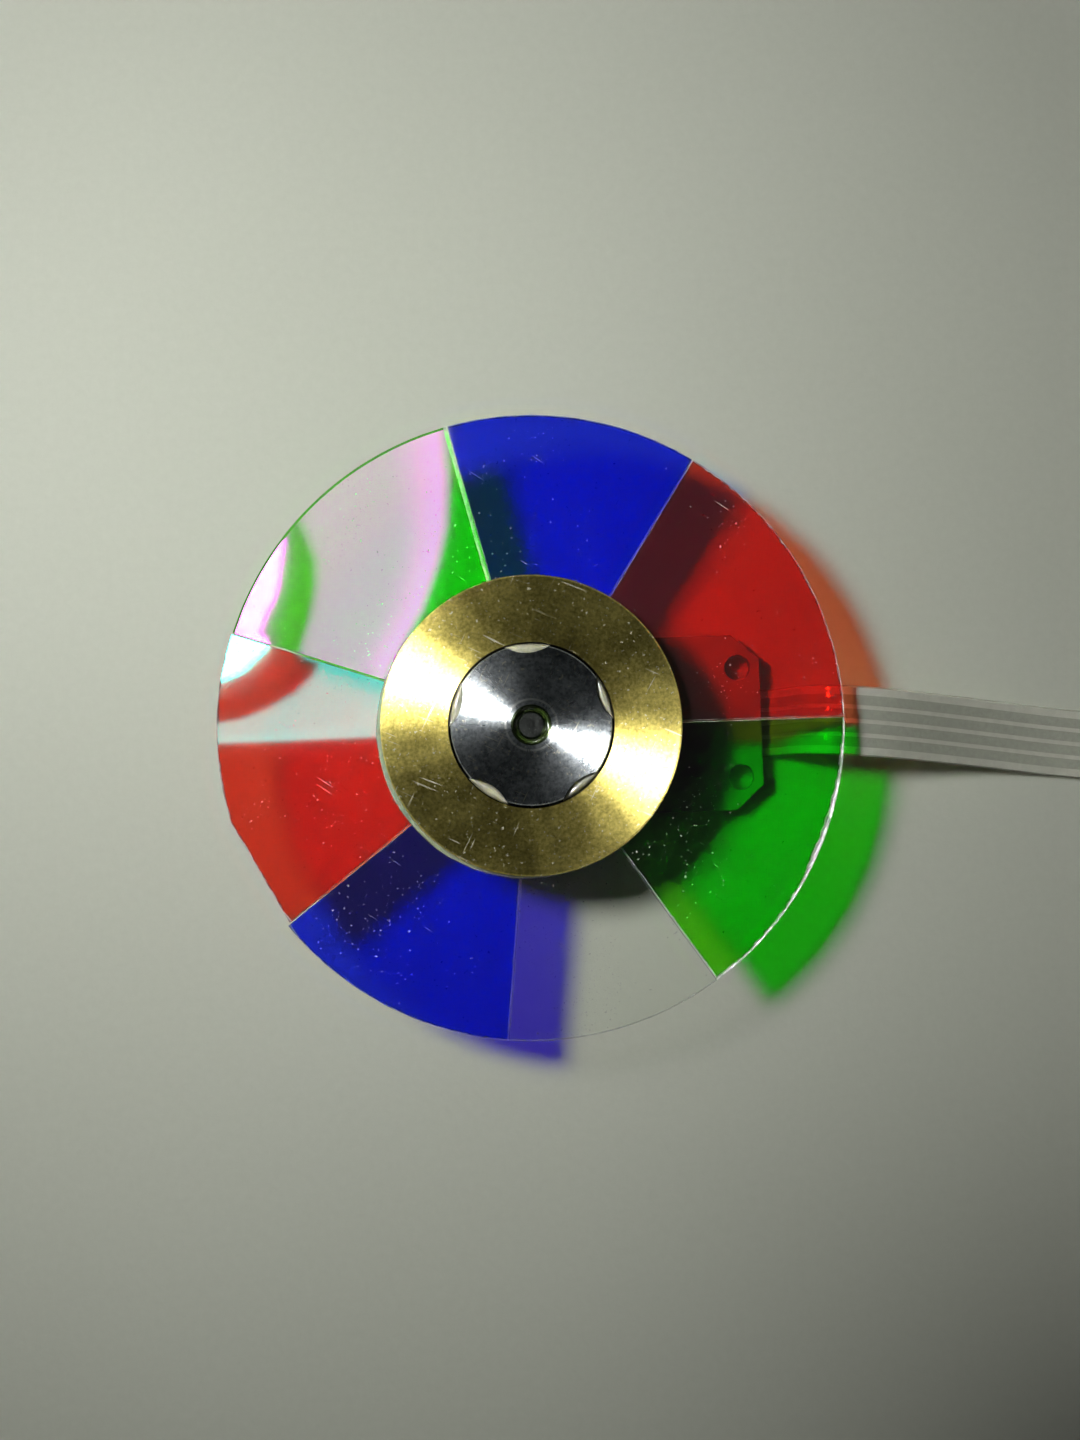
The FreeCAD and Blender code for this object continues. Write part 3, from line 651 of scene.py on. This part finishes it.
def squeezed_adhesive():
    """The film under the balance ring, pressed out on one side into a rounded bead."""
    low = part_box("bond_film_upper")[0][2]
    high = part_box("bond_film_upper")[1][2]
    # The film's inner radius and the ring's outer one
    inner, wall = 6.0 * MM, 10.5 * MM
    # The film is a circle as wide as the ring, moved this far towards this heading
    shift = 0.4 * MM
    lean = math.radians(203)
    dice = random.Random(ADHESIVE_SEED)
    waves = 48
    wobble = [dice.uniform(-0.03, 0.03) * MM for _ in range(waves)]
    loops = []
    steps = 288
    for index in range(steps):
        angle = 2 * math.pi * index / steps
        beside = math.sin(angle - lean) * shift
        edge = math.cos(angle - lean) * shift + math.sqrt(wall ** 2 - beside ** 2)
        place = index / steps * waves
        left, share = int(place), place - int(place)
        edge += wobble[left % waves] * (1 - share) + wobble[(left + 1) % waves] * share
        out = max(0.0, edge - wall)
        climb = min(0.8 * out, 0.3 * MM)
        loop = [(inner, low), (edge, low)]
        if out > 0:
            for turn in (0.15, 0.35, 0.6, 0.85):
                loop.append((edge - out * turn ** 1.6, low + (high - low + climb) * turn ** 0.75))
            loop.append((wall, high + climb))
        else:
            for turn in (0.2, 0.4, 0.6, 0.8, 1.0):
                loop.append((edge, low + (high - low) * turn))
        loop.append((inner, high))
        loops.append([(r * math.cos(angle), r * math.sin(angle), z) for r, z in loop])
    adhesive = glue("adhesive_grey", rgb(0.4, 0.45, 0.35), 0.3, 0.2)
    piece = lofted("adhesive_bead", loops, [adhesive])
    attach(piece, "wheel")
    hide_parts("bond_film_upper")


squeezed_adhesive()

# Floor

FLOOR_REACH = 600 * MM
# Beyond the lamp's pool of light the floor pales in two stretches: the distance from the axis at
# which each ends, and by how much it pales there
POOL_END = 66 * MM
PALE_NEAR, NEAR_GAIN = 116 * MM, 0.38
PALE_FAR, FAR_GAIN = 560 * MM, 0.52
# A painted shade darkens the sheet's colour towards one corner: its centre, its reach each way, and
# its strength
PAINTED_SHADE_CENTRE = (46 * MM, -60 * MM, 0.0)
PAINTED_SHADE_REACH = (62 * MM, 50 * MM, 50 * MM)
PAINTED_SHADE_STRENGTH = 0.85


def paper():
    """Pale matt paper with a painted shade on one corner, which turns into a backdrop beyond the
    lamp's pool of light.
    """
    shader = Shader("paper")
    place = shader.place()
    fibres = shader.noise(place, 1500.0, 5.0, 0.65)
    shade = shader.noise(place, 12.0, 2.0, 0.5)
    tone = shader.math("ADD", shader.math("MULTIPLY", fibres, 0.35),
                       shader.math("MULTIPLY", shade, 0.65))
    colour = shader.blend(shader.step(tone, 0.35, 0.65), rgb(0.68, 0.705, 0.61),
                          rgb(0.74, 0.765, 0.67))
    # The colour darkens towards one corner of the sheet: painted shade
    within = shader.add("Mapping", {"Vector": place, "Location": PAINTED_SHADE_CENTRE,
                                    "Scale": PAINTED_SHADE_REACH},
                        vector_type="TEXTURE").outputs["Vector"]
    dim = shader.add("TexGradient", {"Vector": within},
                     gradient_type="QUADRATIC_SPHERE").outputs["Fac"]
    colour = shader.blend(shader.math("MULTIPLY", dim, PAINTED_SHADE_STRENGTH), colour,
                          rgb(0.0, 0.0, 0.0))
    sheet = shader.add("BsdfPrincipled", {
        "Base Color": colour,
        "Roughness": 0.8,
        "Specular IOR Level": 0.05,
        "Normal": shader.bump(fibres, 1.5e-5),
    }).outputs["BSDF"]
    # Only the camera and mirrors see the floor pale, so that it sheds no light on the part
    reach = shader.polar()[0]
    pale = shader.math("ADD", shader.step(reach, POOL_END, PALE_NEAR, 0.0, NEAR_GAIN),
                       shader.step(reach, PALE_NEAR, PALE_FAR, 0.0, FAR_GAIN))
    rays = shader.add("LightPath").outputs
    seen = shader.math("MAXIMUM", rays["Is Camera Ray"], rays["Is Glossy Ray"])
    backdrop = shader.add("Emission", {
        "Color": rgb(1.0, 1.0, 0.96),
        "Strength": shader.math("MULTIPLY", pale, seen),
    })
    both = shader.add("AddShader")
    shader.feed(both.inputs[0], sheet)
    shader.feed(both.inputs[1], backdrop.outputs[0])
    return shader.finish(both.outputs[0])


floor = mesh_object(
    "floor",
    [(x * FLOOR_REACH, y * FLOOR_REACH, 0) for x, y in ((-1, -1), (1, -1), (1, 1), (-1, 1))],
    [(0, 1, 2, 3)], [paper()],
)

# Camera

SENSOR_HEIGHT = 36.0
aim = (*at_pixel(PHOTO_WIDTH / 2, PHOTO_HEIGHT / 2), GLASS_TOP)
camera_data = bpy.data.cameras.new("camera")
camera = bpy.data.objects.new("camera", camera_data)
bpy.context.scene.collection.objects.link(camera)
camera.location = (*turned(*CAMERA_OFFSET, -PHOTO_TURN), GLASS_TOP + CAMERA_RISE)
level_axis = Vector((*turned(1.0, 0.0, -PHOTO_TURN), 0.0))
back_axis = (camera.location - Vector(aim)).normalized()
up_axis = back_axis.cross(level_axis).normalized()
right_axis = up_axis.cross(back_axis)
camera.rotation_euler = Matrix((right_axis, up_axis, back_axis)).transposed().to_euler()
camera_data.sensor_fit = "VERTICAL"
camera_data.sensor_height = SENSOR_HEIGHT
camera_data.lens = PIXELS_PER_MM_AT_GLASS * CAMERA_RISE / MM / PHOTO_HEIGHT * SENSOR_HEIGHT
camera_data.clip_start = 0.001
bpy.context.scene.camera = camera

# Flat cable

CABLE_HEADING = math.radians(-5.6)
CABLE_START = 12.6 * MM
CABLE_WIDTH = 5.0 * MM
CABLE_THICKNESS = 0.2 * MM
CONDUCTOR_COUNT = 4
CONDUCTOR_PITCH = 1.0 * MM
CONDUCTOR_WIDTH = 0.7 * MM
CONDUCTOR_THICKNESS = 0.06 * MM
# How far the film swells over each conductor, and the backing's height over the centre line
FILM_CROWN = 0.008 * MM
BACKING_LOW, BACKING_HIGH = -0.07 * MM, -0.045 * MM
BACKING_INSET = 0.12 * MM
# Distance from the cable's start, height, and how far the line bows to the left of its heading,
# in millimetres
CABLE_ROUTE = [
    (0.0, 0.45, 0.0),
    (3.8, 0.45, 0.25),
    (5.4, 0.45, 0.45),
    (7.1, 5.1, 0.65),
    (11.6, 5.8, 0.75),
    (19.6, 2.1, 0.6),
    (27.1, 0.4, 0.25),
    (38.6, 1.0, 0.0),
    (52.7, 0.35, 0.0),
    (61.0, 0.35, 0.0),
    (66.7, 0.35, 0.0),
]


def along_cable(distance, height, bow=0.0):
    x, y = turned(distance, bow, CABLE_HEADING)
    return CABLE_START + x, y, height


def cable_line():
    """The points of the smooth line that the cable follows."""
    curve = bpy.data.curves.new("cable_line", "CURVE")
    curve.dimensions = "3D"
    spline = curve.splines.new("NURBS")
    spline.points.add(len(CABLE_ROUTE) - 1)
    for point, place in zip(spline.points, CABLE_ROUTE):
        point.co = (*along_cable(*(number * MM for number in place)), 1.0)
    spline.order_u = 3
    spline.use_endpoint_u = True
    spline.resolution_u = 24
    holder = bpy.data.objects.new("cable_line", curve)
    bpy.context.scene.collection.objects.link(holder)
    mesh = bpy.data.meshes.new_from_object(holder)
    points = [vertex.co.copy() for vertex in mesh.vertices]
    bpy.data.objects.remove(holder)
    bpy.data.meshes.remove(mesh)
    return points


def ribbon(name, line, profile, materials, smooth=True):
    """A flat strip swept along the cable's line; the profile is (across, up) pairs."""
    side = turned(0.0, 1.0, CABLE_HEADING)
    points = []
    for index, here in enumerate(line):
        before = line[max(0, index - 1)]
        after = line[min(len(line) - 1, index + 1)]
        ahead = (after - before).normalized()
        up = ahead.cross(Vector((side[0], side[1], 0)))
        for across, rise in profile:
            points.append((
                here.x + side[0] * across + up.x * rise,
                here.y + side[1] * across + up.y * rise,
                here.z + up.z * rise,
            ))
    size = len(profile)
    faces = [tuple(range(size - 1, -1, -1))]
    for index in range(len(line) - 1):
        here, there = size * index, size * (index + 1)
        for corner in range(size):
            after = (corner + 1) % size
            faces.append((here + corner, here + after, there + after, there + corner))
    end = size * (len(line) - 1)
    faces.append(tuple(range(end, end + size)))
    return mesh_object(name, points, faces, materials, smooth=smooth)


def upright_box(near, far, low, high):
    """A rectangular profile for a ribbon."""
    return [(near, low), (far, low), (far, high), (near, high)]


def cable_film():
    """Milky film, half clear, with a soft gloss."""
    shader = Shader("cable_film")
    place = shader.place()
    haze = shader.noise(place, 700.0, 3.0, 0.6)
    fine = shader.noise(place, 5000.0, 2.0, 0.5)
    through = shader.add("BsdfTransparent", {"Color": rgb(0.96, 0.96, 0.93)}).outputs["BSDF"]
    film = shader.add("BsdfPrincipled", {
        "Base Color": shader.blend(shader.step(haze, 0.3, 0.7), rgb(0.76, 0.78, 0.69),
                                   rgb(0.84, 0.86, 0.77)),
        "Roughness": 0.08,
        "Specular IOR Level": 1.0,
        "Normal": shader.bump(fine, 1e-6),
    }).outputs["BSDF"]
    mix = shader.add("MixShader", {"Fac": 0.2})
    shader.feed(mix.inputs[1], through)
    shader.feed(mix.inputs[2], film)
    return shader.finish(mix.outputs[0])


def flat_cable():
    """The ribbed film, the four conductors inside it and the backing under them."""
    line = cable_line()
    half_width = CABLE_WIDTH / 2
    half = CABLE_THICKNESS / 2
    upper = []
    lower = []
    steps = 25
    for index in range(steps):
        across = -half_width + CABLE_WIDTH * index / (steps - 1)
        phase = (across / CONDUCTOR_PITCH + 0.5) * 2 * math.pi
        ridge = FILM_CROWN * math.cos(phase)
        edge = 0.6 if index in (0, steps - 1) else 1.0
        upper.append((across, half * edge + ridge * edge - FILM_CROWN))
        lower.append((across, -half * edge - ridge * edge + FILM_CROWN))
    film = ribbon("cable_film", line, lower + upper[::-1], [cable_film()])
    wire = plain("conductor_tin", rgb(0.55, 0.57, 0.5), roughness=0.7, grain=3000.0, wear=0.15)
    backing = plain("backing_film", rgb(0.9, 0.91, 0.85), roughness=0.6, grain=1500.0, wear=0.1)
    for index in range(CONDUCTOR_COUNT):
        centre = (index - (CONDUCTOR_COUNT - 1) / 2) * CONDUCTOR_PITCH
        profile = upright_box(centre - CONDUCTOR_WIDTH / 2, centre + CONDUCTOR_WIDTH / 2,
                              -CONDUCTOR_THICKNESS / 2, CONDUCTOR_THICKNESS / 2)
        bar = ribbon(f"cable_conductor_{index + 1}", line, profile, [wire], smooth=False)
        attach(bar, "base")
        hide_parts("flat_cable")
    inset = half_width - BACKING_INSET
    profile = upright_box(-inset, inset, BACKING_LOW, BACKING_HIGH)
    sheet = ribbon("cable_backing", line, profile, [backing], smooth=False)
    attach(sheet, "base")
    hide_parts("flat_cable")
    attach(film, "base")
    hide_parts("flat_cable")


flat_cable()

# Lamps


def aimed_at(thing, target):
    direction = Vector(target) - thing.location
    thing.rotation_euler = direction.to_track_quat("-Z", "Y").to_euler()


def disc_lamp(name, place, power, size, colour=(1.0, 1.0, 1.0)):
    lamp = bpy.data.lights.new(name, "AREA")
    lamp.shape = "DISK"
    lamp.size = size
    lamp.energy = power
    lamp.color = colour
    holder = bpy.data.objects.new(name, lamp)
    holder.location = place
    bpy.context.scene.collection.objects.link(holder)
    aimed_at(holder, (0.0, 0.0, 0.0))
    return holder


KEY_AZIMUTH = math.radians(152.0)
KEY_FROM_VERTICAL = math.radians(30.2)
KEY_DISTANCE = 270 * MM
KEY_PLACE = (
    KEY_DISTANCE * math.sin(KEY_FROM_VERTICAL) * math.cos(KEY_AZIMUTH),
    KEY_DISTANCE * math.sin(KEY_FROM_VERTICAL) * math.sin(KEY_AZIMUTH),
    KEY_DISTANCE * math.cos(KEY_FROM_VERTICAL),
)
KEY_POWER = 0.0462
KEY_SIZE = 58 * MM
KEY_SPREAD = math.radians(52)
KEY_TARGET = (-22 * MM, 24 * MM, 0.0)
# The same lamp's bright middle, which only mirrors show
SPARKLE_POWER = 0.95
SPARKLE_SIZE = 30 * MM

key = disc_lamp("key", KEY_PLACE, KEY_POWER, KEY_SIZE, (1.0, 1.0, 0.97))
aimed_at(key, KEY_TARGET)
key.data.spread = KEY_SPREAD
sparkle = disc_lamp("sparkle", KEY_PLACE, SPARKLE_POWER, SPARKLE_SIZE)
sparkle.visible_diffuse = False
sparkle.visible_transmission = False


def reflected_card(name, near_edge, far_edge, glow):
    """A glowing card that only mirrors show, placed so that the glass reflects it to the camera.

    The edges are lines of photograph pixels on the glass, and glow gives its strength from the
    share of the way across and along. Each corner lies on the line from the camera to its pixel,
    mirrored upwards by the glass. The card hangs over the glass at a share of the camera's height.
    """
    eye = camera.location
    gain = 0.9
    steps = 14
    points, glows, faces = [], [], []
    for along, (near, far) in enumerate(zip(near_edge, far_edge)):
        for across in range(steps + 1):
            share = across / steps
            px = near[0] + (far[0] - near[0]) * share
            py = near[1] + (far[1] - near[1]) * share
            x, y = at_pixel(px, py)
            points.append((x + (x - eye.x) * gain, y + (y - eye.y) * gain,
                           GLASS_TOP + gain * CAMERA_RISE))
            glows.append(glow(share, along / (len(near_edge) - 1)))
    for along in range(len(near_edge) - 1):
        for across in range(steps):
            here = along * (steps + 1) + across
            faces.append((here, here + 1, here + steps + 2, here + steps + 1))
    shader = Shader(name)
    strength = shader.add("Attribute", attribute_name="glow").outputs["Fac"]
    light = shader.add("Emission", {"Color": rgb(1.0, 1.0, 1.0), "Strength": strength})
    card = mesh_object(name, points, faces, [shader.finish(light.outputs[0])])
    attribute = card.data.attributes.new("glow", "FLOAT", "POINT")
    attribute.data.foreach_set("value", glows)
    card.visible_camera = False
    card.visible_diffuse = False
    card.visible_transmission = False
    card.visible_shadow = False
    card.visible_volume_scatter = False


def edge_fade(share):
    """1 inside a card, and less near its two long edges."""
    return min(1.0, 0.25 + share / 0.1, 0.25 + (1 - share) / 0.1)


def glow_over_green(across, along):
    return edge_fade(across) * (0.58 + 0.6 * max(0.0, (across - 0.6) / 0.4) ** 1.3)


def glow_over_red(across, along):
    return (0.66 + 0.8 * max(0.0, across - 0.6) * along) * min(1.0, 0.25 + across / 0.1)


def glow_bright(across, along):
    return 14.0


def reflected_cards():
    """What the two filters nearest the lamp mirror: a pale ceiling, and a lit patch of it."""
    reflected_card(
        "card_over_green",
        [(292, 440), (284, 500), (301, 535), (311, 560),
         (312, 587), (307, 617), (299, 643), (296, 656)],
        [(443, 400), (448, 432), (451, 475), (449, 525),
         (441, 562), (425, 610), (395, 662), (385, 684)],
        glow_over_green,
    )
    reflected_card(
        "card_over_red",
        [(319, 658), (310, 675), (292, 692), (267, 707), (242, 718), (200, 726)],
        [(393, 670), (386, 695), (380, 737), (330, 739), (285, 741), (195, 744)],
        glow_over_red,
    )
    reflected_card(
        "card_bright",
        [(240, 480), (225, 540), (205, 590), (200, 632), (195, 655), (190, 672), (190, 690)],
        [(276, 515), (281, 542), (275, 590), (256, 632), (268, 645), (242, 670), (205, 686)],
        glow_bright,
    )


def surroundings():
    """A dim room, pale round the horizon where the metal and the glass mirror it."""
    world = bpy.data.worlds.new("surroundings")
    bpy.context.scene.world = world
    world.use_nodes = True
    tree = world.node_tree
    tree.nodes.clear()

    def add(kind, **inputs):
        node = tree.nodes.new("ShaderNode" + kind)
        for name, value in inputs.items():
            socket = node.inputs[name.replace("_", " ")]
            if isinstance(value, bpy.types.NodeSocket):
                tree.links.new(value, socket)
            else:
                socket.default_value = value
        return node

    height = add("SeparateXYZ", Vector=tree.nodes.new("ShaderNodeTexCoord").outputs["Generated"])
    mirrored = add("MapRange", Value=height.outputs["Z"], From_Min=0.05, From_Max=0.85,
                   To_Min=0.32, To_Max=0.004)
    mirrored.interpolation_type = "SMOOTHSTEP"
    mirror_back = add("Background", Color=rgb(0.93, 1.0, 0.98), Strength=mirrored.outputs["Result"])
    fill_back = add("Background", Color=rgb(1.0, 0.84, 0.6), Strength=0.012)
    white_back = add("Background", Color=rgb(1.0, 1.0, 1.0), Strength=1.0)
    rays = tree.nodes.new("ShaderNodeLightPath")
    inner = tree.nodes.new("ShaderNodeMixShader")
    tree.links.new(rays.outputs["Is Glossy Ray"], inner.inputs[0])
    tree.links.new(fill_back.outputs[0], inner.inputs[1])
    tree.links.new(mirror_back.outputs[0], inner.inputs[2])
    outer = tree.nodes.new("ShaderNodeMixShader")
    tree.links.new(rays.outputs["Is Camera Ray"], outer.inputs[0])
    tree.links.new(inner.outputs[0], outer.inputs[1])
    tree.links.new(white_back.outputs[0], outer.inputs[2])
    out = tree.nodes.new("ShaderNodeOutputWorld")
    tree.links.new(outer.outputs[0], out.inputs["Surface"])


surroundings()
reflected_cards()

bpy.context.scene.view_settings.view_transform = "Standard"
